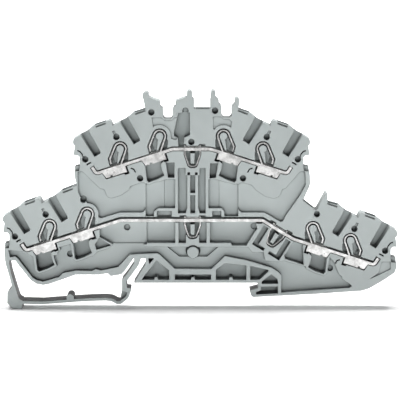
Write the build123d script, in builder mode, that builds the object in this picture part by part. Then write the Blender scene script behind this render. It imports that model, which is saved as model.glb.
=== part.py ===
"""Double level terminal block with spring clamps, for a mounting rail.

All lengths are in millimetres. X runs along the block, Y through its thickness and Z up from
the seat. The housing is a tray: open towards -Y, closed by a wall at +Y. Each of the two
current bars carries four wire clamps, two on each side, and the clamps share one shape.
"""

import os
from math import cos, radians, sin, tan

from build123d import *

os.makedirs("parts", exist_ok=True)

# Housing
THICKNESS = 5.2
BACK_WALL = 0.9
FRONT_SKIN = 0.75
CORNER = 0.25
SEAT_LEFT = -15.6
SEAT_RIGHT = 17.4

# Depths of the recesses behind the open face
UPPER_WEB_DEPTH = 1.5
MIDDLE_WEB_DEPTH = 2.1
LOWER_WEB_DEPTH = 2.0
UNDER_BAR_DEPTH = 3.0
LOCATOR_DEPTH = 3.6
SLOT_DEPTH = 1.6
STEP_DEPTH = 0.4
BAND_STEP = 0.2

# Tiers: heights of the bars' centre lines, and where they bend
TIER_SLOPE = 17.9
STEEP_SLOPE = 31.6
UPPER_LEVEL = 35.75
UPPER_CENTRE = -0.25
UPPER_FLAT = 10.0
LOWER_LEVEL = 16.75
LOWER_BEND_LEFT = -19.05
LOWER_BEND_RIGHT = 18.5
STEEP_RUN = 9.6

# Clamp units: distances along the sloped runs
UPPER_FIRST = 1.8
UPPER_PITCH = 10.9
LOWER_LEFT_FIRST = 7.5
LOWER_RIGHT_FIRST = 3.7
LOWER_PITCH = 10.5

# Current bars
BAR_THICKNESS = 0.8
BAR_INSET = 0.4
BAR_CLEARANCE = 0.06
UPPER_RELIEF = 0.3
LOWER_RELIEF = 0.55
COLLAR_WALL = 0.45

# Clamp springs
STRIP_THICKNESS = 0.4
STRIP_PLAY = 0.45
LOOP_RADIUS = 1.5
LOOP_GAP = 0.35
POST_GAP = 0.3
SPRING_RIM = 0.95
INNER_LEG_ANGLE = 53.4
OUTER_LEG_ANGLE = 49.8

# Wire entries
BORE_DIAMETER = 3.0
SLOT_WIDTH = 3.0
LOCATOR_RADIUS = 0.85
LABEL_SLOT = 0.35

# Cross connection
JUMPER_WINDOW = 4.4
JUMPER_WINDOW_WIDTH = 2.4
JUMPER_STRIP = 0.35
JUMPER_DROP = 5.1
JUMPER_CLEARANCE = 0.08

# Foot
LEAF = 0.75

DEEP = THICKNESS - BACK_WALL
BAR_WIDTH = DEEP - BAR_INSET
STRIP_WIDTH = BAR_WIDTH - STRIP_PLAY
JUMPER_INSET = BAR_INSET + (BAR_WIDTH - JUMPER_WINDOW_WIDTH) / 2


class Frame:
    """Local frame on a bar: u runs inward along the bar, v away from its top face."""

    def __init__(self, side, line_point, distance, slope):
        self.side = side
        self.slope = radians(slope)
        self.line = line_point
        u = -distance
        v = BAR_THICKNESS / 2
        self.foot = self._turn(u, v, line_point)

    def _turn(self, u, v, origin):
        x = origin[0] - self.side * (u * cos(self.slope) - v * sin(self.slope))
        z = origin[1] + u * sin(self.slope) + v * cos(self.slope)
        return x, z

    def at(self, u, v):
        """Point at (u, v) of this frame, as (x, z)."""
        return self._turn(u, v, self.foot)

    def place(self, points):
        """Points of this frame, as (x, z)."""
        return [self.at(u, v) for u, v in points]

    def beside(self, points):
        """Points given as upright offsets from the foot: outward, up."""
        return [(self.foot[0] + self.side * out, self.foot[1] + up) for out, up in points]


def front(depth=0.0):
    """Sketch plane at a depth behind the open face, looking out of it."""
    return Plane.XZ.offset(THICKNESS / 2 - depth)


def shifted(points, x=0.0, z=0.0):
    """Points moved along the block and up."""
    return [(px + x, pz + z) for px, pz in points]


def corner_radii(points, radius):
    """Radius for each corner, less where the edges beside it are too short for it."""
    radii = []
    for before, corner, after in zip(points[-1:] + points[:-1], points, points[1:] + points[:1]):
        into = Vector(*corner) - Vector(*before)
        out = Vector(*after) - Vector(*corner)
        turn = radians(into.get_angle(out))
        room = 0.42 * min(into.length, out.length)
        radii.append(min(radius, room / tan(turn / 2)) if turn > 0.06 else 0)
    return radii


def rounded(points, radius=CORNER):
    """Closed outline with rounded corners, as a face to be added to a sketch."""
    with BuildSketch(Plane.XY, mode=Mode.PRIVATE) as blank:
        with BuildLine():
            FilletPolyline(*points, radius=corner_radii(points, radius), close=True)
        make_face()
    return blank.sketch.face()


def plain(points):
    """Closed outline with sharp corners, as a face to be added to a sketch."""
    with BuildSketch(Plane.XY, mode=Mode.PRIVATE) as blank:
        Polygon(*points)
    return blank.sketch.face()


def ribbon(points, width, radius):
    """Strip of this width along a bent centre line, as faces to be added to a sketch."""
    with BuildSketch(Plane.XY, mode=Mode.PRIVATE) as blank:
        with BuildLine() as line:
            FilletPolyline(*points, radius=corner_radii(points, radius)[1:-1])
        trace(line.edges(), width)
    return blank.sketch.faces()


def disc(point, radius):
    """Circle round a point, as a face to be added to a sketch."""
    with BuildSketch(Plane.XY, mode=Mode.PRIVATE) as blank:
        with Locations(point):
            Circle(radius)
    return blank.sketch.face()


def stud(point, radius):
    """Twelve-sided outline for a small pin or hole, which keeps the mesh light."""
    with BuildSketch(Plane.XY, mode=Mode.PRIVATE) as blank:
        with Locations(point):
            RegularPolygon(radius, 12)
    return blank.sketch.face()


def sink(faces, depth, skin=0.0):
    """Sink pockets to a depth behind the open face, leaving a skin in front of them."""
    with BuildSketch(front(skin)) as sketch:
        add(faces)
    extrude(sketch.sketch, amount=skin - depth, mode=Mode.SUBTRACT)


def stand(faces, top=0.0, floor=DEEP):
    """Stand posts and ribs between two depths behind the open face."""
    with BuildSketch(front(top)) as sketch:
        add(faces)
    extrude(sketch.sketch, amount=top - floor)


# Centre lines of the bars, and the frames of the clamps and cross connections on them
upper_bends = [
    (UPPER_CENTRE - UPPER_FLAT / 2, UPPER_LEVEL),
    (UPPER_CENTRE + UPPER_FLAT / 2, UPPER_LEVEL),
]
lower_bends = [
    (LOWER_BEND_LEFT, LOWER_LEVEL),
    (LOWER_BEND_RIGHT, LOWER_LEVEL),
    (
        LOWER_BEND_RIGHT + STEEP_RUN * cos(radians(STEEP_SLOPE)),
        LOWER_LEVEL - STEEP_RUN * sin(radians(STEEP_SLOPE)),
    ),
]

upper_left_inner = Frame(-1, upper_bends[0], UPPER_FIRST, TIER_SLOPE)
upper_left_outer = Frame(-1, upper_bends[0], UPPER_FIRST + UPPER_PITCH, TIER_SLOPE)
upper_right_inner = Frame(1, upper_bends[1], UPPER_FIRST, TIER_SLOPE)
upper_right_outer = Frame(1, upper_bends[1], UPPER_FIRST + UPPER_PITCH, TIER_SLOPE)
lower_left_inner = Frame(-1, lower_bends[0], LOWER_LEFT_FIRST, TIER_SLOPE)
lower_left_outer = Frame(-1, lower_bends[0], LOWER_LEFT_FIRST + LOWER_PITCH, TIER_SLOPE)
lower_right_inner = Frame(1, lower_bends[2], LOWER_RIGHT_FIRST, TIER_SLOPE)
lower_right_outer = Frame(1, lower_bends[2], LOWER_RIGHT_FIRST + LOWER_PITCH, TIER_SLOPE)

outer_units = [upper_left_outer, upper_right_outer, lower_left_outer, lower_right_outer]
inner_units = [upper_left_inner, upper_right_inner, lower_left_inner, lower_right_inner]
units = outer_units + inner_units

upper_jumper = Frame(-1, (UPPER_CENTRE + 0.25, UPPER_LEVEL), 0.0, 0.0)
lower_jumper = Frame(-1, (0.0, LOWER_LEVEL), 0.0, 0.0)
slope_jumper = Frame(1, lower_bends[1], STEEP_RUN * 0.54, STEEP_SLOPE)
jumpers = [upper_jumper, lower_jumper, slope_jumper]

# Clamp geometry in the frame of a unit
LOOP_CENTRE = (-0.35, 3.95)
inner_normal = (sin(radians(INNER_LEG_ANGLE)), -cos(radians(INNER_LEG_ANGLE)))
outer_normal = (-sin(radians(OUTER_LEG_ANGLE)), cos(radians(OUTER_LEG_ANGLE)))
inner_leg = (-cos(radians(INNER_LEG_ANGLE)), -sin(radians(INNER_LEG_ANGLE)))
outer_leg = (-cos(radians(OUTER_LEG_ANGLE)), -sin(radians(OUTER_LEG_ANGLE)))
LEG_KINK = 3.55
LEG_TIP = (-3.9, 0.85)
COLLAR = [(-6.85, -BAR_THICKNESS), (-6.3, -2.35), (-5.15, -2.42), (-5.0, -2.0), (-4.65, -2.0)]
COLLAR += [(-4.4, -2.5), (-1.2, -2.4), (-0.55, -2.5)]
COLLAR_INNER = COLLAR[-1][0]
COLLAR_OUTER = COLLAR[0][0]
WINDOW_OUTER = COLLAR_OUTER + COLLAR_WALL + 0.1
WINDOW_INNER = -1.75
HOOK_BEND = -8.45
HOOK_TIP = (-8.95, 1.6)


def beside_loop(normal, offset, along=0.0, leg=(0.0, 0.0)):
    """Point at an offset from the loop's centre, and along one of its legs."""
    u = LOOP_CENTRE[0] + normal[0] * offset + leg[0] * along
    v = LOOP_CENTRE[1] + normal[1] * offset + leg[1] * along
    return u, v


def clamp_strip(unit):
    """Clamp spring's strip, seen along its width: foot on the bar, loop, leg and tip."""
    foot_run = (LOOP_CENTRE[1] + 0.4) / sin(radians(INNER_LEG_ANGLE))
    foot = unit.at(*beside_loop(inner_normal, LOOP_RADIUS, foot_run, inner_leg))
    inner = unit.at(*beside_loop(inner_normal, LOOP_RADIUS))
    crown = unit.at(LOOP_CENTRE[0], LOOP_CENTRE[1] + LOOP_RADIUS)
    outer = unit.at(*beside_loop(outer_normal, LOOP_RADIUS))
    kink = unit.at(*beside_loop(outer_normal, LOOP_RADIUS, LEG_KINK, outer_leg))
    with BuildSketch(Plane.XY, mode=Mode.PRIVATE) as blank:
        with BuildLine() as line:
            Line(foot, inner)
            ThreePointArc(inner, crown, outer)
            FilletPolyline(outer, kink, unit.at(*LEG_TIP), radius=0.6)
        trace(line.edges(), STRIP_THICKNESS)
        Polygon(*unit.place([(-4, 0), (2, 0), (2, -2), (-4, -2)]), mode=Mode.SUBTRACT)
    return blank.sketch.faces()


def contact_path():
    """Centre line of a U-shaped contact spring, its tips standing through the bar."""
    leg = (JUMPER_WINDOW - JUMPER_STRIP) / 2
    path = [(-leg, 0.55), (-leg, -1.9), (-0.95, -JUMPER_DROP)]
    return path + [(-u, v) for u, v in reversed(path)]


def bar_path(first, bends, last):
    """Centre line of a bar, with an upturned hook beyond each outermost clamp."""
    middle = -BAR_THICKNESS / 2
    head = [first.at(*HOOK_TIP), first.at(HOOK_BEND, middle)]
    tail = [last.at(HOOK_BEND, middle), last.at(*HOOK_TIP)]
    return head + bends + tail


def draw_collars(bar_units):
    """Draw a collar down round the wire window under each clamp, and open the windows."""
    block = COLLAR + [(COLLAR_INNER, -BAR_THICKNESS)]
    with BuildSketch(front(BAR_INSET)) as blocks:
        for unit in bar_units:
            Polygon(*unit.place(block))
    extrude(blocks.sketch, amount=-BAR_WIDTH)
    well = [
        (WINDOW_OUTER, 0.2),
        (WINDOW_INNER, 0.2),
        (WINDOW_INNER, -BAR_THICKNESS),
        (COLLAR_INNER - COLLAR_WALL, -1.2),
        (COLLAR_INNER - COLLAR_WALL, -2.8),
        (COLLAR[1][0] + COLLAR_WALL, -2.8),
        (WINDOW_OUTER, -BAR_THICKNESS),
    ]
    with BuildSketch(front(BAR_INSET + COLLAR_WALL)) as wells:
        for unit in bar_units:
            Polygon(*unit.place(well))
    extrude(wells.sketch, amount=2 * COLLAR_WALL - BAR_WIDTH, mode=Mode.SUBTRACT)


def open_jumper_windows(bar_jumpers):
    """Open the windows of the cross connections in a bar."""
    half = JUMPER_WINDOW / 2
    low = -BAR_THICKNESS - 0.2
    window = [(-half, 0.2), (half, 0.2), (half, low), (-half, low)]
    with BuildSketch(front(JUMPER_INSET)) as windows:
        for jumper in bar_jumpers:
            Polygon(*jumper.place(window))
    extrude(windows.sketch, amount=-JUMPER_WINDOW_WIDTH, mode=Mode.SUBTRACT)


# Outline of the housing, clockwise from the root of the foot at the lower left
END_WALL = [
    (13.65, -1.25),
    (12.2, -1.0),
    (12.25, 1.5),
    (12.75, 1.95),
    (13.75, 2.0),
    (13.75, 2.6),
    (13.45, 4.5),
    (13.93, 5.1),
    (13.93, 5.7),
]
OUTER_CORNER = [(-11.2, 10.15), (-9.5, 10.55)]
LEAD_IN = [(-7.6, 10.8), (-6.6, 11.2), (-5.1, 11.85)]
PLATEAU_END = [(-0.75, 11.95), (-0.45, 11.55), (-0.3, 10.35)]
UPPER_NOTCH = (1.4, 10.55)
LOWER_NOTCH = (1.0, 10.55)


def end_of_tier(unit, notch):
    """Edge from below the notched end wall up over the outermost wire entry."""
    return unit.beside(END_WALL) + unit.place(OUTER_CORNER + LEAD_IN + PLATEAU_END + [notch])


top_centre = shifted(
    [
        (-12.1, 10.55),
        (-12.45, 12.5),
        (-12.82, 14.0),
        (-12.75, 14.6),
        (-12.3, 15.05),
        (-11.5, 15.05),
        (-11.21, 14.6),
        (-11.21, 13.85),
        (-9.9, 13.2),
        (-8.29, 12.7),
        (-8.29, 11.35),
        (-7.47, 10.7),
        (-7.47, 8.6),
        (-6.95, 8.0),
        (-5.5, 8.0),
        (-4.95, 8.6),
        (-4.95, 10.5),
        (-4.6, 11.3),
        (-4.15, 11.35),
        (-4.15, 12.8),
        (-1.28, 13.75),
        (-1.2, 15.1),
        (-0.9, 15.45),
        (-0.25, 15.45),
        (0.15, 14.95),
        (0.2, 13.5),
        (0.67, 13.1),
        (0.67, 10.65),
        (4.87, 10.65),
        (4.87, 12.7),
        (5.05, 14.1),
        (5.15, 15.2),
        (5.45, 15.5),
        (5.95, 15.45),
        (6.28, 14.95),
        (6.28, 13.7),
        (6.85, 13.35),
        (7.15, 12.9),
        (7.15, 12.0),
        (7.7, 11.6),
        (7.9, 10.8),
        (7.9, 8.9),
        (8.4, 8.35),
        (9.95, 8.35),
        (10.5, 8.9),
        (10.5, 11.2),
        (11.3, 11.95),
        (11.3, 12.8),
        (11.5, 13.4),
        (11.95, 13.6),
        (12.5, 13.2),
        (12.55, 12.5),
        (12.25, 10.6),
    ],
    UPPER_CENTRE,
    UPPER_LEVEL,
)
left_neck = upper_left_outer.beside([(13.0, -6.1), (13.55, -3.9)])
right_neck = upper_right_outer.beside([(13.95, -3.3), (14.1, -5.4), (13.9, -6.3), (12.2, -10.1)])
slope_finger = lower_right_inner.beside(
    [(2.2, 8.55), (2.6, 8.85), (4.85, 13.15), (5.25, 13.05), (5.4, 10.55)]
)
right_corner = lower_right_outer.beside(
    [(13.75, -1.25), (13.85, -3.6), (13.35, -5.0), (10.5, -7.0), (6.6, -9.3), (4.6, -9.9)]
)
right_claw = [(32.8, -3.0), (16.1, -3.9), (15.6, -3.5), (15.2, -2.1), (SEAT_RIGHT, -1.5)]
seat = [(SEAT_RIGHT, 0.0), (SEAT_LEFT, 0.0)]
foot_gap = [
    (-12.5, 5.0),
    (-12.5, 6.6),
    (-15.7, 6.6),
    (-17.9, 3.4),
    (-18.9, 2.3),
    (-21.8, 1.8),
    (-22.6, 2.6),
    (-24.9, 2.2),
    (-31.1, 2.2),
    (-35.0, 0.8),
    (-37.8, -0.2),
    (-39.7, -0.6),
    (-41.4, -0.3),
    (-43.0, 0.7),
    (-46.4, 5.1),
    (-47.0, 6.0),
]
outline = (
    [(-49.8, 6.0)]
    + end_of_tier(lower_left_outer, LOWER_NOTCH)
    + lower_left_inner.place(LEAD_IN + [(-1.85, 12.05)])
    + left_neck
    + end_of_tier(upper_left_outer, UPPER_NOTCH)
    + upper_left_inner.place(LEAD_IN)
    + top_centre
    + upper_right_inner.place(LEAD_IN[::-1])
    + end_of_tier(upper_right_outer, UPPER_NOTCH)[::-1]
    + right_neck
    + slope_finger
    + lower_right_inner.place(LEAD_IN[::-1])
    + end_of_tier(lower_right_outer, LOWER_NOTCH)[::-1][:-1]
    + right_corner
    + right_claw
    + seat
    + foot_gap
)

foot_arm = [
    (-49.8, 6.4),
    (-49.6, 4.9),
    (-48.9, 2.5),
    (-48.15, -0.5),
    (-48.2, -1.4),
    (-49.3, -2.6),
    (-49.4, -5.6),
    (-48.5, -6.6),
    (-48.0, -7.05),
    (-45.4, -7.2),
    (-45.4, -4.75),
    (-45.9, -4.6),
    (-46.4, -4.0),
    (-46.8, -2.6),
    (-47.4, -0.5),
    (-48.3, 2.8),
    (-48.7, 5.2),
    (-48.6, 6.4),
]
foot_strip = [
    (-45.8, -5.35),
    (-40.0, -5.5),
    (-31.0, -4.8),
    (-27.0, -4.56),
    (-23.1, -4.46),
    (-21.5, -4.64),
    (-19.6, -5.75),
    (-17.4, -3.95),
    (-16.8, -2.2),
]
claw_leg = [
    (-15.6, 6.9),
    (-15.5, 5.3),
    (-17.4, 2.5),
    (-18.8, 0.7),
    (-18.8, -2.3),
    (-17.3, -2.75),
    (-16.5, -2.5),
    (-16.35, -1.5),
    (-17.5, -1.45),
    (-17.65, 0.35),
    (-16.4, 1.9),
    (-14.3, 4.8),
    (-13.6, 6.9),
]
claw_web = [(-18.8, -2.0), (-17.0, -2.4), (-17.4, -4.0), (-19.5, -5.6)]

bars = [
    bar_path(upper_left_outer, upper_bends, upper_right_outer),
    bar_path(lower_left_outer, lower_bends, lower_right_outer),
]

# Recesses of the webs
upper_web_left = [
    (-30.0, -11.2),
    (-30.0, -5.8),
    (-28.7, -5.8),
    (-24.05, -10.5),
    (-23.0, -10.5),
    (-22.15, -12.7),
    (-21.25, -13.0),
    (-18.85, -12.3),
    (-16.35, -10.7),
    (-16.35, -9.9),
    (-13.35, -8.8),
    (-12.15, -8.8),
    (-12.15, -16.8),
    (-18.85, -16.8),
    (-24.15, -18.4),
    (-26.6, -16.4),
    (-27.75, -14.0),
    (-29.4, -12.6),
]
upper_web_right = [
    (12.35, -8.9),
    (13.85, -8.9),
    (15.95, -9.5),
    (16.85, -10.7),
    (19.45, -12.5),
    (21.75, -13.1),
    (23.15, -12.5),
    (23.95, -10.5),
    (24.65, -10.5),
    (28.65, -5.8),
    (29.9, -5.8),
    (30.15, -9.3),
    (28.75, -12.0),
    (24.85, -17.7),
    (23.95, -19.6),
    (20.25, -17.4),
    (19.25, -16.8),
    (12.35, -16.8),
]
middle_web_left = [(-12.15, -9.2), (-11.6, -8.9), (-8.6, -8.6), (-6.7, -8.0), (-4.35, -8.0)]
middle_web_left += [(-4.35, -17.8), (-12.15, -17.8)]
middle_web_right = [(4.45, -8.0), (6.9, -8.1), (8.8, -8.7), (11.6, -9.0), (12.35, -9.3)]
middle_web_right += [(12.35, -17.8), (4.45, -17.8)]
middle_bands = [
    [(-7.25, -8.2), (-4.35, -8.0), (-4.35, -17.8), (-7.25, -17.8)],
    [(4.45, -8.0), (7.3, -8.2), (7.3, -17.8), (4.45, -17.8)],
]
top_steps = [
    [
        (-10.45, 8.35),
        (-9.95, 5.2),
        (-4.7, 2.6),
        (-3.8, 2.6),
        (-3.8, 8.4),
        (-4.5, 8.4),
        (-5.2, 7.6),
        (-7.1, 7.6),
        (-7.8, 8.35),
    ],
    [
        (5.6, 8.6),
        (5.7, 5.3),
        (6.3, 4.9),
        (10.25, 4.9),
        (10.55, 7.35),
        (9.85, 7.95),
        (8.35, 7.95),
        (7.65, 8.65),
    ],
]
corner_step = [(6.6, -6.85), (12.3, -4.1), (12.3, -2.1), (9.9, -2.1), (9.1, -5.1)]
lower_web = [
    (-48.9, 8.8),
    (-48.5, 6.9),
    (-47.0, 7.1),
    (-46.2, 6.3),
    (-42.6, 1.5),
    (-41.5, 0.7),
    (-39.9, 0.3),
    (-38.3, 0.7),
    (-35.4, 1.6),
    (-34.5, 2.6),
    (-31.0, 3.3),
    (-26.7, 3.2),
    (-25.7, 3.7),
    (-24.3, 3.3),
    (-19.7, 4.3),
    (-16.7, 7.6),
    (-9.4, 8.0),
    (-8.7, 7.6),
    (-4.8, 3.8),
    (5.0, 3.7),
    (8.6, 7.2),
    (14.3, 6.1),
    (20.9, 4.1),
    (22.9, 2.8),
    (23.6, 2.0),
    (23.6, -2.7),
    (32.6, -2.0),
    (41.8, -1.4),
    (42.4, -0.9),
    (41.6, -0.2),
    (39.9, 0.9),
    (39.7, 1.7),
    (39.0, 2.1),
    (37.6, 5.6),
    (36.4, 7.0),
    (30.2, 4.3),
    (24.2, 5.9),
    (22.8, 5.6),
    (19.3, 5.9),
    (18.9, 8.2),
    (15.9, 8.2),
    (14.8, 9.6),
    (-12.9, 9.7),
    (-12.9, 10.5),
    (-21.0, 10.5),
    (-21.6, 9.9),
    (-22.4, 9.2),
    (-25.4, 8.3),
    (-26.4, 7.2),
    (-31.8, 6.2),
    (-32.3, 10.4),
    (-35.4, 9.6),
    (-36.0, 7.5),
    (-41.8, 6.6),
    (-44.5, 8.4),
]

# Pockets under the bars, each tied to the level of the bar above it
side_room = [(-24.6, -4.4), (-21.1, -6.4), (-12.1, -6.4), (-12.1, -0.4), (-19.3, -0.4), (-24.6, -2.1)]
under_lower_bar = [
    [(-12.2, -6.0), (-4.6, -6.0), (-4.6, -0.4), (-12.2, -0.4)],
    [(-3.7, -6.0), (3.7, -6.0), (3.7, -0.4), (-3.7, -0.4)],
    [(4.6, -6.0), (10.2, -6.0), (10.4, -6.7), (14.3, -6.7), (16.9, -2.4), (16.9, -0.4), (4.6, -0.4)],
    [(24.3, -9.4), (24.6, -10.3), (29.5, -11.9), (29.3, -6.4), (26.9, -5.6)],
]
lower_reliefs = [(-19.1, -15.6), (-13.8, -10.7), (7.9, 13.7), (15.3, 18.4)]
narrow_pockets = [
    [(-6.8, -3.5), (-4.5, -3.5), (-4.5, -7.5), (-6.2, -7.5)],
    [(4.9, -3.7), (7.0, -3.7), (6.4, -7.5), (4.7, -7.7)],
]
centre_column = [(-3.6, -5.0), (3.7, -5.0), (3.7, -17.0), (-3.6, -17.0)]
marker_pocket = [
    (-3.5, 9.65),
    (-0.45, 9.65),
    (-0.4, 3.8),
    (-1.9, 3.1),
    (-2.1, 0.3),
    (-3.4, 0.3),
    (-3.6, 3.0),
    (-4.6, 3.5),
    (-4.7, 4.2),
]

# Pockets between the seat and the lower web
base_pockets = [
    [(-11.1, 4.1), (-9.6, 6.0), (-6.2, 3.3), (-6.2, 0.8), (-13.6, 0.8)],
    [(-4.7, 0.8), (4.9, 0.8), (4.9, 2.2), (-4.7, 2.2)],
    [(6.2, 0.8), (14.3, 0.8), (14.3, 4.6), (8.5, 5.2), (6.2, 3.5)],
    [(15.3, 0.8), (17.8, 0.8), (20.2, 3.1), (20.2, 3.4), (15.3, 4.5)],
    [(18.4, 0.3), (20.9, 2.2), (22.7, 0.8), (22.7, -0.3), (18.4, -0.3)],
    [(16.9, -3.2), (16.9, -2.6), (18.2, -2.0), (18.2, -1.1), (22.7, -1.1), (22.7, -2.9)],
    [(-11.8, 6.6), (-10.2, 6.6), (-11.5, 5.0)],
]
web_step = [(-25.9, 10.3), (-25.5, 8.9), (-22.5, 9.8), (-21.6, 10.1), (-24.7, 12.1)]
tray = [(-7.1, 9.6), (-3.6, 6.7), (3.9, 6.7), (7.2, 9.6)]
BOSS = (0.1, 8.2)
BOSS_RADIUS = 1.53
BOSS_GAP = 0.4
boss_stem = [(-0.45, 6.5), (0.6, 6.5), (0.6, 7.2), (-0.45, 7.2)]
seat_nubs = [[(x - 0.6, 0.7), (x - 0.3, 1.5), (x + 0.3, 1.5), (x + 0.6, 0.7)] for x in (-9.7, 0.1, 10.2)]

# Wire ends: the space below each collar, and the rim that surrounds it
wire_end = [
    (-6.4, -2.3),
    (-7.2, -6.2),
    (-6.9, -6.8),
    (-4.4, -6.75),
    (-2.4, -6.35),
    (-2.5, -4.5),
    (-2.3, -3.1),
    (-0.6, -2.3),
]
wire_end_rim = [
    (-7.0, -2.0),
    (-7.8, -6.3),
    (-7.2, -7.35),
    (-4.3, -7.3),
    (-1.9, -6.85),
    (-1.95, -4.5),
    (-1.8, -3.5),
    (0.3, -3.1),
    (0.3, -2.0),
]
open_ends = inner_units + [lower_left_outer]
covered_ends = [upper_left_outer, upper_right_outer, lower_right_outer]

# Loop pockets, wire entries and driver slots
loop_reach = LOOP_RADIUS + STRIP_THICKNESS / 2 + LOOP_GAP
loop_pocket = [
    beside_loop(outer_normal, loop_reach),
    (-4.3, 2.4),
    (-4.4, 0.0),
    (0.55, 0.0),
    (1.4, 2.3),
    beside_loop(inner_normal, loop_reach),
    LOOP_CENTRE,
]
entry = [(-7.4, 4.0), (-5.6, 4.45), (-5.5, 5.05), (-6.75, 11.6), (-9.3, 11.2)]
slot_outer = -1.85 - SLOT_WIDTH
slot = [(slot_outer, 13.0), (-1.85, 13.0), (-1.85, 5.3), (-4.25, 2.45), (slot_outer, 3.2)]
collar_recess = [
    (COLLAR_OUTER - 0.1, -0.5),
    (COLLAR[1][0] - 0.1, -2.6),
    (-1.4, -2.6),
    (-1.2, -3.0),
    (COLLAR_INNER + 0.5, -3.0),
    (COLLAR_INNER + 0.5, -0.5),
]
post_radius = LOOP_RADIUS - STRIP_THICKNESS / 2 - POST_GAP
post = [
    beside_loop(outer_normal, post_radius),
    (-2.97, 2.4),
    (-2.97, 0.55),
    (-1.88, 0.55),
    beside_loop(inner_normal, post_radius),
    LOOP_CENTRE,
]
post_face = [beside_loop(inner_normal, post_radius), (-1.88, 0.55), (-2.3, 0.55), (-1.25, 2.9), LOOP_CENTRE]

# Cross connections: room for the tips, a post in each spring, a block below and side pockets
tip_room = [
    (-3.4, -0.1),
    (3.4, -0.1),
    (3.4, 1.0),
    (1.7, 1.0),
    (1.5, 0.35),
    (-1.5, 0.35),
    (-1.7, 1.0),
    (-3.4, 1.0),
]
contact_post = [(-0.6, -1.4), (0.6, -1.4), (0.45, 0.9 - JUMPER_DROP), (-0.45, 0.9 - JUMPER_DROP)]
block_top = 0.8 - JUMPER_DROP
upper_foot = -JUMPER_DROP - 2.2
lower_foot = -JUMPER_DROP - 1.4
upper_block = [(-1.85, block_top), (1.85, block_top), (1.85, upper_foot), (-1.85, upper_foot)]
lower_block = [(-1.75, block_top), (1.75, block_top), (1.75, lower_foot), (-1.75, lower_foot)]
block_holes = [
    [(u - 0.35, -JUMPER_DROP - 1.4), (u + 0.35, -JUMPER_DROP - 1.4), (u + 0.35, -JUMPER_DROP - 2.1)]
    + [(u - 0.35, -JUMPER_DROP - 2.1)]
    for u in (-1.0, 1.0)
]
side_pockets = [
    [
        (side * 4.2, -1.3),
        (side * 2.7, -1.3),
        (side * 2.7, -JUMPER_DROP - 1.3),
        (side * 0.7, -JUMPER_DROP - 1.3),
        (side * 0.7, -JUMPER_DROP - 2.1),
        (side * 4.2, -JUMPER_DROP - 2.1),
    ]
    for side in (-1, 1)
]
top_shaft = [(1.2, 0.3), (4.5, 0.3), (4.5, 11.5), (1.2, 11.5)]
slope_shaft = [(23.0, 14.8), (26.0, 17.9), (29.6, 22.6), (32.3, 20.6), (27.9, 15.6), (25.2, 13.3)]

# Ribs between the two cross connections, with a rung and a flare at the foot
RIB_TOP = UPPER_LEVEL - JUMPER_DROP - 1.0
RIB_FOOT = LOWER_LEVEL + 1.1
RUNG = (RIB_TOP + RIB_FOOT) / 2 + 0.4
centre_ribs = [
    [(-1.4, RIB_TOP), (-0.6, RIB_TOP), (-0.6, RIB_FOOT), (-2.0, RIB_FOOT), (-1.4, RIB_FOOT + 2.4)],
    [(0.7, RIB_TOP), (1.5, RIB_TOP), (1.5, RIB_FOOT + 2.4), (2.1, RIB_FOOT), (0.7, RIB_FOOT)],
    [(-0.7, RUNG), (0.8, RUNG), (0.8, RUNG - 0.6), (-0.7, RUNG - 0.6)],
]

# Small features of the face: locating holes, label slots, moulded lines at the ends
OUTER_LOCATORS = [(-0.3, 7.25), (-9.95, 4.15), (2.2, -5.1)]
LOWER_INNER_LOCATOR = (-0.1, 7.95)
locators = [unit.at(*spot) for unit in outer_units for spot in OUTER_LOCATORS]
locators += [unit.at(*LOWER_INNER_LOCATOR) for unit in (lower_left_inner, lower_right_inner)]
locators += [upper_left_inner.at(-0.45, 10.6)]
locators += shifted([(-1.6, 10.2), (6.15, 10.2), (-0.05, 1.95)], UPPER_CENTRE, UPPER_LEVEL)
locators += shifted([(-17.4, -2.2), (16.3, -2.0)], 0, LOWER_LEVEL)
locator_lead = [(-0.65, 7.3), (0.1, 7.3), (-0.25, 9.0), (-0.9, 9.0)]
LABEL_LEFT = -4.6
LABEL_RIGHT = -1.85
label_slot = [
    (LABEL_LEFT, 11.25),
    (LABEL_RIGHT, 11.35),
    (LABEL_RIGHT, 11.35 + LABEL_SLOT),
    (LABEL_LEFT, 11.25 + LABEL_SLOT),
]
end_tab = [(12.2, -1.0), (13.9, -1.0), (13.9, -2.3), (12.4, -2.2)]
end_hook = [(12.8, 3.2), (12.1, 2.95), (11.5, 2.2), (11.25, 1.4)]
end_dash = [(10.35, -0.55), (9.75, -0.15), (9.2, 0.05)]
cover_corner = [(0.7, -1.75), (1.4, -2.3), (1.55, -3.2)]

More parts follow.
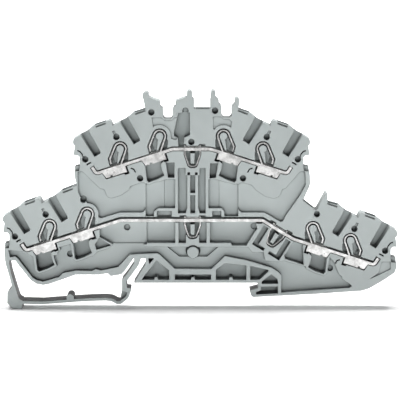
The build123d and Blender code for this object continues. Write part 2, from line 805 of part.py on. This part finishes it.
with BuildPart() as housing:
    with BuildSketch(front()) as silhouette:
        add([plain(outline), rounded(foot_arm), rounded(claw_leg)])
        add(ribbon(foot_strip, LEAF, 2.0))
        add(disc((-32.6, -4.5 + LEAF / 2), 1.0))
    extrude(amount=-THICKNESS)
    stand([plain(claw_web)], THICKNESS / 2, THICKNESS)

    # Steps and shallow recesses, then the rims that stand in them
    steps = [plain(shifted(step, UPPER_CENTRE, UPPER_LEVEL)) for step in top_steps]
    steps += [plain(shifted(corner_step, *lower_right_outer.foot))]
    steps += [plain(unit.place(locator_lead)) for unit in outer_units]
    sink(steps, STEP_DEPTH)
    upper_webs = [shifted(web, UPPER_CENTRE, UPPER_LEVEL) for web in (upper_web_left, upper_web_right)]
    sink([rounded(web, 1.2) for web in upper_webs], UPPER_WEB_DEPTH)
    middle = [shifted(w, UPPER_CENTRE, UPPER_LEVEL) for w in (middle_web_left, middle_web_right)]
    sink([plain(w) for w in middle], MIDDLE_WEB_DEPTH)
    bands = [plain(shifted(band, UPPER_CENTRE, UPPER_LEVEL)) for band in middle_bands]
    sink(bands, MIDDLE_WEB_DEPTH + BAND_STEP)
    sink([plain(lower_web)], LOWER_WEB_DEPTH)
    sink([plain(web_step), plain(shifted(side_room, 0, LOWER_LEVEL))], LOWER_WEB_DEPTH + STEP_DEPTH)
    hats = [
        [(-10.2, 0.5), (-10.2, 2.45), (-9.0, 3.35), (-4.4, 3.35), (-4.4, 0.5)],
        [(4.2, 0.5), (4.2, 3.35), (7.7, 3.35), (8.4, 2.45), (8.4, 0.5)],
    ]
    rims = [plain(unit.place(wire_end_rim)) for unit in open_ends]
    rims += [plain(shifted(hat, 0, LOWER_LEVEL)) for hat in hats]
    for unit in (upper_left_inner, upper_right_inner, lower_left_inner):
        rims += [disc(unit.at(*LOOP_CENTRE), loop_reach + SPRING_RIM)]
    stand(rims)

    # Pockets of middling depth, and the blocks and ribs that stand in them
    shallow = [plain(shifted(pocket, 0, LOWER_LEVEL)) for pocket in under_lower_bar]
    shallow += [plain(shifted(centre_column, UPPER_CENTRE, UPPER_LEVEL)), plain(tray)]
    hat_pockets = [
        [(-9.4, 0.5), (-9.4, 2.55), (-5.5, 2.55), (-5.5, 0.5)],
        [(5.2, 0.5), (5.2, 2.55), (7.6, 2.55), (7.6, 0.5)],
    ]
    shallow += [plain(shifted(hat, 0, LOWER_LEVEL)) for hat in hat_pockets]
    shallow += [plain(slope_jumper.place(pocket)) for pocket in side_pockets]
    sink(shallow, UNDER_BAR_DEPTH)
    uprights = [plain(upper_jumper.place(upper_block)), plain(lower_jumper.place(lower_block))]
    uprights += [plain(rib) for rib in centre_ribs]
    stand(uprights)

    # Deep pockets: clamps, wire entries, bar grooves, cross connections and the base
    deep = [plain(shifted(p, UPPER_CENTRE, UPPER_LEVEL)) for p in narrow_pockets]
    deep += [plain(shifted(marker_pocket, UPPER_CENTRE, UPPER_LEVEL))]
    deep += [plain(pocket) for pocket in base_pockets]
    deep += [disc(BOSS, BOSS_RADIUS + BOSS_GAP)]
    for unit in units:
        deep += [plain(unit.place(entry)), disc(unit.at(*LOOP_CENTRE), loop_reach)]
        deep += [plain(unit.place(loop_pocket)), plain(unit.place(collar_recess))]
    deep += [plain(unit.place(wire_end)) for unit in open_ends]
    for path, relief in zip(bars, (UPPER_RELIEF, LOWER_RELIEF)):
        groove = shifted(path, 0, relief / 2)
        deep += ribbon(groove, BAR_THICKNESS + 2 * BAR_CLEARANCE + relief, 0.9)
    for left, right in lower_reliefs:
        below = [(left, -0.3), (right, -0.3), (right, -0.8), (left, -0.8)]
        deep += [plain(shifted(below, 0, LOWER_LEVEL))]
    for jumper in jumpers:
        path = jumper.place(contact_path())
        deep += ribbon(path, JUMPER_STRIP + 2 * JUMPER_CLEARANCE, 0.9)
        deep += [plain(path), plain(jumper.place(tip_room))]
    deep += [plain(upper_jumper.place(hole)) for hole in block_holes]
    sink(deep, DEEP)

    # Locating holes, label slots and the lines moulded into the ends of the tiers
    sink([stud(spot, LOCATOR_RADIUS) for spot in locators], LOCATOR_DEPTH)
    lines = [plain(unit.place(label_slot)) for unit in units]
    for unit in outer_units:
        lines += [plain(unit.beside(end_tab))]
        lines += ribbon(unit.beside(end_hook), 0.3, 0.0) + ribbon(unit.beside(end_dash), 0.35, 0.0)
    for unit in covered_ends:
        lines += ribbon(unit.place(cover_corner), 0.3, 0.0)
    sink(lines, SLOT_DEPTH)

    # Driver slots, jumper shafts and covered wire ends, all behind a skin of the open face
    hidden = [plain(unit.place(slot)) for unit in units]
    hidden += [plain(unit.place(wire_end)) for unit in covered_ends]
    hidden += [plain(shifted(top_shaft, UPPER_CENTRE, UPPER_LEVEL)), plain(slope_shaft)]
    sink(hidden, DEEP - 0.1, FRONT_SKIN)

    # Funnels from the wire entries to the windows of the bars
    funnel_planes = []
    mouth, window = (-6.6, 4.9), (-5.0, -0.4)
    middle_depth = THICKNESS / 2 - (FRONT_SKIN + DEEP) / 2
    for unit in units:
        start, end = Vector(*unit.at(*mouth)), Vector(*unit.at(*window))
        axis = end - start
        funnel_planes.append(Plane(origin=(start.X, -middle_depth, start.Y), z_dir=(axis.X, 0, axis.Y)))
    with BuildSketch(*funnel_planes) as funnels:
        RegularPolygon(BORE_DIAMETER / 2, 8, major_radius=False, rotation=22.5)
    extrude(amount=(Vector(*window) - Vector(*mouth)).length, mode=Mode.SUBTRACT)

    # Posts in the loops and in the contact springs, the boss of the tray and nubs of the base
    stand([plain(unit.place(post)) for unit in units], UNDER_BAR_DEPTH)
    posts = [plain(jumper.place(contact_post)) for jumper in jumpers]
    posts += [disc(BOSS, BOSS_RADIUS), plain(boss_stem)]
    posts += [plain(nub) for nub in seat_nubs]
    for unit in units:
        posts += [stud(unit.at(*LOOP_CENTRE), post_radius), plain(unit.place(post_face))]
    stand(posts)
housing.part.label = "housing"
export_step(housing.part, "parts/housing.step")

with BuildPart() as upper_current_bar:
    with BuildSketch(front(BAR_INSET)) as upper_strip:
        add(ribbon(bars[0], BAR_THICKNESS, 0.9))
    extrude(amount=-BAR_WIDTH)
    draw_collars([unit for unit in units if unit.line in upper_bends])
    open_jumper_windows([upper_jumper])
upper_current_bar.part.label = "upper_current_bar"
export_step(upper_current_bar.part, "parts/upper_current_bar.step")

with BuildPart() as lower_current_bar:
    with BuildSketch(front(BAR_INSET)) as lower_strip:
        add(ribbon(bars[1], BAR_THICKNESS, 0.9))
    extrude(amount=-BAR_WIDTH)
    draw_collars([unit for unit in units if unit.line in lower_bends])
    open_jumper_windows([lower_jumper, slope_jumper])
lower_current_bar.part.label = "lower_current_bar"
export_step(lower_current_bar.part, "parts/lower_current_bar.step")

clamps = {
    "clamp_spring_upper_left_outer": upper_left_outer,
    "clamp_spring_upper_left_inner": upper_left_inner,
    "clamp_spring_upper_right_inner": upper_right_inner,
    "clamp_spring_upper_right_outer": upper_right_outer,
    "clamp_spring_lower_left_outer": lower_left_outer,
    "clamp_spring_lower_left_inner": lower_left_inner,
    "clamp_spring_lower_right_inner": lower_right_inner,
    "clamp_spring_lower_right_outer": lower_right_outer,
}
for name, unit in clamps.items():
    with BuildPart() as clamp_spring:
        with BuildSketch(front(BAR_INSET)) as strip:
            add(clamp_strip(unit))
        extrude(amount=-STRIP_WIDTH)
    clamp_spring.part.label = name
    export_step(clamp_spring.part, f"parts/{name}.step")

contacts = {
    "contact_spring_upper": upper_jumper,
    "contact_spring_lower": lower_jumper,
    "contact_spring_slope": slope_jumper,
}
for name, jumper in contacts.items():
    with BuildPart() as contact_spring:
        with BuildSketch(front(JUMPER_INSET + 0.1)) as strip:
            add(ribbon(jumper.place(contact_path()), JUMPER_STRIP, 0.9))
        extrude(amount=0.2 - JUMPER_WINDOW_WIDTH)
    contact_spring.part.label = name
    export_step(contact_spring.part, f"parts/{name}.step")
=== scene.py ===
from math import cos, radians, sin

import bmesh
import bpy
from bpy.props import FloatProperty, FloatVectorProperty, PointerProperty
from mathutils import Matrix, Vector


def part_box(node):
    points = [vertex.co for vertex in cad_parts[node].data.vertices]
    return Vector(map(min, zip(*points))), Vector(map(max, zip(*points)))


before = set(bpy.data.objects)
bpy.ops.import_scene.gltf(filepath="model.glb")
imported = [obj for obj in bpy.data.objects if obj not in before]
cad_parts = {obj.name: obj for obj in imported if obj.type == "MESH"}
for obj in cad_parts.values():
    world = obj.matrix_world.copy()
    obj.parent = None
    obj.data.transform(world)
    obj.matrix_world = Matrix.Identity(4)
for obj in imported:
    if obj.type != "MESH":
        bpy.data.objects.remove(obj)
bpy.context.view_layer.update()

bl_info = {
    "name": "Double Level Terminal Block",
    "version": (1, 0, 0),
    "blender": (4, 5, 0),
    "location": "View3D > Sidebar > Terminal Block",
    "description": "Finishes the moulded housing, bars and springs of a terminal block",
    "category": "Object",
}

# Places on the block, in metres
MM = 0.001
FRONT_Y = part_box("housing")[0][1]
FLOOR_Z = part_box("housing")[0][2]

# The sweep: a floor that bends up into a wall
FLOOR_GAP = 0.05 * MM
SWEEP_WIDTH = 6.0
SWEEP_FRONT = -0.2
SWEEP_BACK = 0.6
SWEEP_BEND = 0.5
SWEEP_WALL = 2.0
SHINE_STARTS = 0.01
SHINE_ENDS = 0.12
FULL_SHINE = 1.1
SHADOW_OVAL = (0.2, 1.0, 0.0)

# Lamps: place, target, width and height
FRONT_LAMP = ((-0.05, -1.2, -0.04), (0.0, 0.0, 0.02), (0.9, 0.2))
TOP_LAMP = ((0.0, 0.1, 1.0), (0.0, 0.0, 0.0), (0.6, 0.25))

# Camera
AIM = (1.97 * MM, FRONT_Y, 22.3 * MM)
LENS = 153.5
SENSOR = 36.0

# Grain of the materials: noise scales for metres, and the depth of the bump
MOTTLE_SCALE = 140.0
GRAIN_SCALE = 5200.0
MARKS_SCALE = 900.0
PLATING_SCALE = 640.0
PAPER_SCALE = 30.0
BUMP_DEPTH = 0.02 * MM
FOOT_FADE = 2 * MM
SAMPLES = 8

WHITE = (1.0, 1.0, 1.0)
BLACK = (0.0, 0.0, 0.0)
WHOLE = (0.0, 1.0)
FALLING = (1.0, 0.0)


# Nodes

def new_material(name):
    """An empty node material and its Principled shader."""
    material = bpy.data.materials.new(name)
    material.use_nodes = True
    shader = material.node_tree.nodes["Principled BSDF"]
    return material, shader


def add_node(owner, kind, **inputs):
    """A node in a material or world, with some of its inputs set."""
    node = owner.node_tree.nodes.new(kind)
    for name, value in inputs.items():
        node.inputs[name.replace("_", " ")].default_value = value
    return node


def link(owner, source, output, target, socket):
    """Join one node's output to another node's input."""
    owner.node_tree.links.new(source.outputs[output], target.inputs[socket])


def grey(value):
    """A grey of this value."""
    return (value, value, value)


def shade(colour, factor):
    """A colour made lighter or darker by a factor."""
    return tuple(min(1.0, channel * factor) for channel in colour)


def noise(material, source, output, scale, detail, roughness):
    """A noise pattern on a node's coordinates."""
    node = add_node(material, "ShaderNodeTexNoise", Scale=scale, Detail=detail, Roughness=roughness)
    link(material, source, output, node, "Vector")
    return node


def ramp(material, source, output, stops):
    """The colours of (position, colour) stops, picked by a node's value."""
    node = add_node(material, "ShaderNodeValToRGB")
    elements = node.color_ramp.elements
    while len(elements) < len(stops):
        elements.new(0.5)
    for element, (position, colour) in zip(elements, stops):
        element.position = position
        element.color = (*colour, 1.0)
    link(material, source, output, node, "Fac")
    return node


def remap(owner, source, output, before, after):
    """A node's value carried from one range to another."""
    node = add_node(owner, "ShaderNodeMapRange")
    node.inputs["From Min"].default_value, node.inputs["From Max"].default_value = before
    node.inputs["To Min"].default_value, node.inputs["To Max"].default_value = after
    link(owner, source, output, node, "Value")
    return node


def combine(owner, operation, *terms, kind="ShaderNodeMath"):
    """One operation on the values of (node, output) terms."""
    node = add_node(owner, kind)
    node.operation = operation
    for socket, (source, output) in enumerate(terms):
        link(owner, source, output, node, socket)
    return node


def axes(material, source, output):
    """The X, Y and Z of a node's vector."""
    node = add_node(material, "ShaderNodeSeparateXYZ")
    link(material, source, output, node, "Vector")
    return node


def multiplied(material, colour, tint, amount=None):
    """A colour multiplied by a node's tint or a grey, as far as an amount says."""
    mix = add_node(material, "ShaderNodeMixRGB", Fac=1.0)
    mix.blend_type = "MULTIPLY"
    link(material, colour, "Color", mix, "Color1")
    if isinstance(tint, float):
        mix.inputs["Color2"].default_value = (*grey(tint), 1.0)
    else:
        link(material, tint, "Color", mix, "Color2")
    if amount:
        link(material, amount, 0, mix, "Fac")
    return mix


def painted_occlusion_shade(material, distance, stops):
    """Painted shade, toned by how much is open within a distance: 0 is shut in, 1 is open."""
    openness = add_node(material, "ShaderNodeAmbientOcclusion", Distance=distance)
    openness.samples = SAMPLES
    return ramp(material, openness, "AO", stops)


def softened(material, radius):
    """Normals that turn smoothly over the edges."""
    edges = add_node(material, "ShaderNodeBevel", Radius=radius)
    edges.samples = SAMPLES
    return edges


def rippled(material, shader, height, edges, strength):
    """Give the shader fine bumps on top of its softened edges."""
    bump = add_node(material, "ShaderNodeBump", Strength=strength, Distance=BUMP_DEPTH)
    link(material, height, "Fac", bump, "Height")
    link(material, edges, "Normal", bump, "Normal")
    link(material, bump, "Normal", shader, "Normal")


# Materials

def painted_foot_shade_mask(material, place, facing, look):
    """Where painted shade falls on the clip foot: a side that faces up or inward, under the body."""
    spot = axes(material, place, "Object")
    below = remap(material, spot, "Z", (look.foot_top, look.foot_top + FOOT_FADE), FALLING)
    left = remap(material, spot, "X", (look.foot_end, look.foot_end + FOOT_FADE), FALLING)
    depth = combine(material, "ABSOLUTE", (facing, "Y"))
    across = remap(material, depth, "Value", (0.2, 0.7), FALLING)
    up = combine(material, "MAXIMUM", (facing, "X"), (facing, "Z"))
    inward = remap(material, up, "Value", (0.7, 0.3), FALLING)
    where = combine(material, "MULTIPLY", (below, "Result"), (left, "Result"))
    which = combine(material, "MULTIPLY", (across, "Result"), (inward, "Result"))
    return combine(material, "MULTIPLY", (where, "Value"), (which, "Value"))


def painted_edge_shade_and_highlight(material, edges, look):
    """Painted shade where an edge turns down, and a painted highlight where it turns up."""
    turned = axes(material, edges, "Normal")
    tilt = remap(material, turned, "Z", (-1.0, 1.0), WHOLE)
    stops = [(0.2, grey(look.painted_lower_edge_shade)), (0.42, WHITE), (0.58, WHITE), (0.8, grey(look.painted_upper_edge_highlight))]
    return ramp(material, tilt, "Result", stops)


def plastic_material(look):
    """Moulded polyamide: faint mottle, fine grain and softened edges, with painted shade in recesses, gaps,
    the clip foot and down-turned edges, and a painted highlight on up-turned edges.
    """
    material, shader = new_material("housing_polyamide")
    place = add_node(material, "ShaderNodeTexCoord")
    surface = add_node(material, "ShaderNodeNewGeometry")
    facing = axes(material, surface, "Normal")
    mottle = noise(material, place, "Object", MOTTLE_SCALE, 3.0, 0.55)
    grain = noise(material, place, "Object", GRAIN_SCALE, 2.0, 0.5)
    edges = softened(material, look.edge)

    tones = [(0.35, shade(look.colour, 0.97)), (0.65, shade(look.colour, 1.03))]
    colour = ramp(material, mottle, "Fac", tones)
    # Painted shade: upward-facing ledges darken where a recess shuts them in.
    recess = painted_occlusion_shade(material, look.shelter, [(0.3, grey(look.recess)), (0.95, WHITE)])
    ledges = ramp(material, facing, "Z", [(0.15, BLACK), (0.6, WHITE)])
    colour = multiplied(material, colour, recess, ledges)
    # Painted shade in narrow gaps and tight corners.
    gaps = painted_occlusion_shade(material, look.gap, [(0.15, grey(look.recess)), (0.8, WHITE)])
    colour = multiplied(material, colour, gaps)
    # Painted shade on the inner sides of the clip foot, under the body.
    colour = multiplied(material, colour, look.foot, painted_foot_shade_mask(material, place, facing, look))
    # Painted edge shade and highlight, on the open face only.
    open_face = remap(material, facing, "Y", (-0.9, -0.7), FALLING)
    colour = multiplied(material, colour, painted_edge_shade_and_highlight(material, edges, look), open_face)
    link(material, colour, "Color", shader, "Base Color")

    sheen = [(0.3, grey(look.roughness - 0.05)), (0.7, grey(look.roughness + 0.07))]
    link(material, ramp(material, mottle, "Fac", sheen), "Color", shader, "Roughness")
    rippled(material, shader, grain, edges, 0.12)
    shader.inputs["Specular IOR Level"].default_value = 0.4
    return material


def metal_material(name, look, streaks):
    """Metal strip with uneven plating, fine drawing marks and painted shade along its edges."""
    material, shader = new_material(name)
    place = add_node(material, "ShaderNodeTexCoord")
    surface = add_node(material, "ShaderNodeNewGeometry")
    stretch = add_node(material, "ShaderNodeMapping", Scale=streaks)
    link(material, place, "Object", stretch, "Vector")
    marks = noise(material, stretch, "Vector", MARKS_SCALE, 4.0, 0.6)
    plating = noise(material, place, "Object", PLATING_SCALE, 3.0, 0.6)
    edges = softened(material, look.edge)

    tones = [(0.36, shade(look.colour, 0.66)), (0.62, shade(look.colour, 1.06))]
    colour = ramp(material, plating, "Fac", tones)
    # Painted shade where the softened edge normal turns away from the face.
    level = combine(material, "DOT_PRODUCT", (edges, "Normal"), (surface, "True Normal"),
                    kind="ShaderNodeVectorMath")
    shaded = ramp(material, level, "Value", [(0.8, grey(look.rim)), (0.99, WHITE)])
    link(material, multiplied(material, colour, shaded), "Color", shader, "Base Color")

    sheen = [(0.3, grey(look.roughness - 0.08)), (0.75, grey(look.roughness + 0.12))]
    link(material, ramp(material, marks, "Fac", sheen), "Color", shader, "Roughness")
    rippled(material, shader, marks, edges, 0.25)
    shader.inputs["Metallic"].default_value = 1.0
    return material


def floor_material(look):
    """Matt white sweep that shines more with its distance from the block."""
    material, shader = new_material("white_sweep")
    place = add_node(material, "ShaderNodeTexCoord")
    paper = noise(material, place, "Object", PAPER_SCALE, 2.0, 0.5)
    tone = ramp(material, paper, "Fac", [(0.4, shade(look.colour, 0.995)), (0.6, look.colour)])
    link(material, tone, "Color", shader, "Base Color")
    link(material, tone, "Color", shader, "Emission Color")

    oval = combine(material, "MULTIPLY", (place, "Object"), kind="ShaderNodeVectorMath")
    oval.inputs[1].default_value = SHADOW_OVAL
    away = combine(material, "LENGTH", (oval, "Vector"), kind="ShaderNodeVectorMath")
    glow = remap(material, away, "Value", (SHINE_STARTS, SHINE_ENDS), (look.glow, FULL_SHINE))
    path = add_node(material, "ShaderNodeLightPath")
    gloss = remap(material, path, "Is Glossy Ray", WHOLE, (0.0, look.reflected))
    seen = combine(material, "MAXIMUM", (path, "Is Camera Ray"), (gloss, "Result"))
    shine = combine(material, "MULTIPLY", (glow, "Result"), (seen, "Value"))
    link(material, shine, "Value", shader, "Emission Strength")
    shader.inputs["Roughness"].default_value = 0.9
    return material


def nodes_named(*starts):
    """The CAD nodes whose names start with one of these."""
    return [node for name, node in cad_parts.items() if name.startswith(starts)]


def dress(nodes, material):
    """Give CAD nodes one material."""
    for node in nodes:
        node.data.materials.clear()
        node.data.materials.append(material)


# Sizes and colours

class HousingLook(bpy.types.PropertyGroup):
    """Finish of the moulded housing"""

    colour: FloatVectorProperty(
        name="Colour", description="Colour of the moulded plastic", subtype="COLOR",
        size=3, min=0.0, max=1.0, default=(0.405, 0.443, 0.44))
    roughness: FloatProperty(
        name="Roughness", description="Roughness of the moulded face", subtype="FACTOR",
        min=0.1, max=0.9, default=0.5)
    edge: FloatProperty(
        name="Edge radius", description="Softening of the moulded edges", subtype="DISTANCE",
        unit="LENGTH", min=0.0, default=0.00024)
    # Tones of the painted shade on down-turned edges and the painted highlight on up-turned edges.
    painted_lower_edge_shade: FloatProperty(
        name="Lower edge tone", description="Tone of an edge that turns down", subtype="FACTOR",
        min=0.0, max=1.0, default=0.1)
    painted_upper_edge_highlight: FloatProperty(
        name="Upper edge tone", description="Tone of an edge that turns up", subtype="FACTOR",
        min=1.0, max=2.0, default=1.25)
    # The recess tone is painted shade: these set how far it reaches and how pale it stays.
    shelter: FloatProperty(
        name="Recess reach", description="How far the dull tone of a recess reaches", subtype="DISTANCE",
        unit="LENGTH", min=0.0, default=0.005)
    recess: FloatProperty(
        name="Recess tone", description="How pale the ledges in a recess stay", subtype="FACTOR",
        min=0.0, max=1.0, default=0.06)
    # Gaps narrower than this get painted shade.
    gap: FloatProperty(
        name="Gap width", description="Gaps narrower than about this go dark", subtype="DISTANCE",
        unit="LENGTH", min=0.0, default=0.0009)
    # Tone of the painted shade on the inner sides of the clip foot.
    foot: FloatProperty(
        name="Foot tone", description="How pale the inner sides of the clip foot stay", subtype="FACTOR",
        min=0.0, max=1.0, default=0.05)
    foot_top: FloatProperty(
        name="Foot top", description="Height up to which the clip foot reaches", subtype="DISTANCE",
        unit="LENGTH", default=0.0055)
    foot_end: FloatProperty(
        name="Foot end", description="How far along the block the clip foot reaches", subtype="DISTANCE",
        unit="LENGTH", default=-0.0175)


class BarLook(bpy.types.PropertyGroup):
    """Finish of the current bars"""

    colour: FloatVectorProperty(
        name="Colour", description="Colour of the tin plating", subtype="COLOR",
        size=3, min=0.0, max=1.0, default=(0.74, 0.74, 0.73))
    roughness: FloatProperty(
        name="Roughness", description="Roughness of the plating", subtype="FACTOR",
        min=0.1, max=0.9, default=0.32)
    # The edge width and edge tone set the painted shade along the bar edges.
    edge: FloatProperty(
        name="Edge width", description="Width of the punched edge", subtype="DISTANCE",
        unit="LENGTH", min=0.0, default=0.00009)
    rim: FloatProperty(
        name="Edge tone", description="How pale the punched edge stays", subtype="FACTOR",
        min=0.0, max=1.0, default=0.5)


class SpringLook(bpy.types.PropertyGroup):
    """Finish of the clamp and contact springs"""

    colour: FloatVectorProperty(
        name="Colour", description="Colour of the spring steel", subtype="COLOR",
        size=3, min=0.0, max=1.0, default=(0.70, 0.70, 0.69))
    roughness: FloatProperty(
        name="Roughness", description="Roughness of the rolled strip", subtype="FACTOR",
        min=0.1, max=0.9, default=0.28)
    # The edge width and edge tone set the painted shade along the slit edges.
    edge: FloatProperty(
        name="Edge width", description="Width of the slit edge", subtype="DISTANCE",
        unit="LENGTH", min=0.0, default=0.00015)
    rim: FloatProperty(
        name="Edge tone", description="How pale the slit edge stays", subtype="FACTOR",
        min=0.0, max=1.0, default=0.2)


class StageLook(bpy.types.PropertyGroup):
    """Floor, lights and camera"""

    colour: FloatVectorProperty(
        name="Floor colour", description="Colour of the white sweep", subtype="COLOR",
        size=3, min=0.0, max=1.0, default=(0.95, 0.95, 0.95))
    glow: FloatProperty(
        name="Floor glow", description="How far the sweep shines beside the block", min=0.0, default=0.12)
    reflected: FloatProperty(
        name="Floor in gloss", description="How much of the sweep's shine shows in gloss", subtype="FACTOR",
        min=0.0, max=1.0, default=0.15)
    front_light: FloatProperty(
        name="Front light", description="Power of the low front light in watts", min=0.0, default=7.2)
    top_light: FloatProperty(
        name="Top light", description="Power of the light above the block in watts", min=0.0, default=15.0)
    surround: FloatProperty(
        name="Surroundings", description="Strength of the even surroundings", min=0.0, default=0.14)
    mirrored: FloatProperty(
        name="Mirrored room", description="How pale a room the metal mirrors", min=0.0, default=0.78)
    distance: FloatProperty(
        name="Camera distance", description="Camera to the open face", subtype="DISTANCE",
        unit="LENGTH", min=0.1, default=0.45)
    elevation: FloatProperty(
        name="Camera elevation", description="Height of the camera above the level", subtype="ANGLE",
        unit="ROTATION", default=radians(9.3))


# Operators

class TERMINAL_OT_housing(bpy.types.Operator):
    """Finish the moulded housing"""

    bl_idname = "terminal.housing"
    bl_label = "Housing"

    def execute(self, context):
        dress(nodes_named("housing"), plastic_material(context.scene.housing_look))
        return {"FINISHED"}


class TERMINAL_OT_bars(bpy.types.Operator):
    """Finish the two current bars"""

    bl_idname = "terminal.bars"
    bl_label = "Current bars"

    def execute(self, context):
        material = metal_material("tin_plated_bar", context.scene.bar_look, (1.0, 6.0, 1.0))
        dress(nodes_named("upper_current_bar", "lower_current_bar"), material)
        return {"FINISHED"}


class TERMINAL_OT_springs(bpy.types.Operator):
    """Finish the clamp springs and the contact springs"""

    bl_idname = "terminal.springs"
    bl_label = "Springs"

    def execute(self, context):
        material = metal_material("rolled_spring_strip", context.scene.spring_look, (1.0, 0.15, 1.0))
        dress(nodes_named("clamp_spring", "contact_spring"), material)
        return {"FINISHED"}


class TERMINAL_OT_stage(bpy.types.Operator):
    """Set up the white sweep, the soft lights and the camera"""

    bl_idname = "terminal.stage"
    bl_label = "Stage"

    def execute(self, context):
        look = context.scene.stage_look
        self.sweep(look)
        front = self.lamp("front_light", *FRONT_LAMP, look.front_light)
        front.visible_glossy = False
        self.lamp("top_light", *TOP_LAMP, look.top_light)
        self.world(context.scene, look)
        self.camera(context.scene, look)
        return {"FINISHED"}

    def sweep(self, look):
        """A floor that curves up into a wall behind the block."""
        bpy.ops.object.select_all(action="DESELECT")
        bpy.ops.mesh.primitive_plane_add(size=1.0)
        floor = bpy.context.object
        floor.name = "sweep"
        bpy.ops.object.mode_set(mode="EDIT")
        bpy.ops.transform.resize(value=(SWEEP_WIDTH, SWEEP_BACK - SWEEP_FRONT, 1.0))
        middle = (SWEEP_FRONT + SWEEP_BACK) / 2
        bpy.ops.transform.translate(value=(0.0, middle, FLOOR_Z - FLOOR_GAP))
        shape = bmesh.from_edit_mesh(floor.data)
        for vertex in shape.verts:
            vertex.select = vertex.co.y > middle
        shape.select_flush_mode()
        bmesh.update_edit_mesh(floor.data)
        for step in self.wall_steps():
            bpy.ops.mesh.extrude_region_move(TRANSFORM_OT_translate={"value": step})
        bpy.ops.object.mode_set(mode="OBJECT")
        bpy.ops.object.shade_smooth()
        floor.data.materials.append(floor_material(look))
        return floor

    def wall_steps(self):
        """The steps of the floor's back edge round the bend and up the wall."""
        turns = [radians(degrees) for degrees in range(0, 91, 10)]
        bend = [Vector((0.0, sin(turn), 1.0 - cos(turn))) * SWEEP_BEND for turn in turns]
        steps = [after - before for before, after in zip(bend, bend[1:])]
        return steps + [Vector((0.0, 0.0, SWEEP_WALL))]

    def lamp(self, name, place, target, size, power):
        """A soft light of this width and height that points at a target."""
        data = bpy.data.lights.new(name, "AREA")
        data.shape = "RECTANGLE"
        data.size, data.size_y = size
        data.energy = power
        lamp = bpy.data.objects.new(name, data)
        lamp.location = place
        direction = Vector(target) - Vector(place)
        lamp.rotation_euler = direction.to_track_quat("-Z", "Y").to_euler()
        bpy.context.scene.collection.objects.link(lamp)
        return lamp

    def world(self, scene, look):
        """Even dim surroundings that look white to the camera and pale in the metal."""
        world = bpy.data.worlds.new("studio")
        world.use_nodes = True
        background = world.node_tree.nodes["Background"]
        background.inputs["Color"].default_value = (*WHITE, 1.0)
        path = add_node(world, "ShaderNodeLightPath")
        mirrored = remap(world, path, "Is Glossy Ray", WHOLE, (look.surround, look.mirrored))
        strength = combine(world, "MAXIMUM", (path, "Is Camera Ray"), (mirrored, "Result"))
        link(world, strength, "Value", background, "Strength")
        scene.world = world

    def camera(self, scene, look):
        """Camera in front of the open face, a little above it."""
        away = Vector((0.0, -cos(look.elevation), sin(look.elevation)))
        data = bpy.data.cameras.new("camera")
        data.sensor_width = SENSOR
        data.lens = LENS
        data.clip_start = 0.01
        data.clip_end = 20.0
        camera = bpy.data.objects.new("camera", data)
        camera.location = Vector(AIM) + away * look.distance
        camera.rotation_euler = (-away).to_track_quat("-Z", "Y").to_euler()
        scene.collection.objects.link(camera)
        scene.camera = camera
        scene.view_settings.view_transform = "Standard"


class TERMINAL_PT_panel(bpy.types.Panel):
    """Sizes, colours and the steps that finish the block"""

    bl_label = "Terminal Block"
    bl_space_type = "VIEW_3D"
    bl_region_type = "UI"
    bl_category = "Terminal Block"

    def draw(self, context):
        layout = self.layout
        for group in GROUPS:
            look = getattr(context.scene, group)
            box = layout.box()
            box.label(text=group.replace("_", " ").capitalize())
            for name in look.__annotations__:
                box.prop(look, name)
        for operator in OPERATORS:
            layout.operator(operator.bl_idname)


GROUPS = {
    "housing_look": HousingLook,
    "bar_look": BarLook,
    "spring_look": SpringLook,
    "stage_look": StageLook,
}
OPERATORS = [
    TERMINAL_OT_housing,
    TERMINAL_OT_bars,
    TERMINAL_OT_springs,
    TERMINAL_OT_stage,
]


def register():
    for name, group in GROUPS.items():
        bpy.utils.register_class(group)
        setattr(bpy.types.Scene, name, PointerProperty(type=group))
    for operator in OPERATORS:
        bpy.utils.register_class(operator)
    bpy.utils.register_class(TERMINAL_PT_panel)


def unregister():
    bpy.utils.unregister_class(TERMINAL_PT_panel)
    for operator in reversed(OPERATORS):
        bpy.utils.unregister_class(operator)
    for name, group in GROUPS.items():
        delattr(bpy.types.Scene, name)
        bpy.utils.unregister_class(group)


def main():
    register()
    bpy.ops.terminal.housing()
    bpy.ops.terminal.bars()
    bpy.ops.terminal.springs()
    bpy.ops.terminal.stage()


if __name__ == "__main__":
    main()
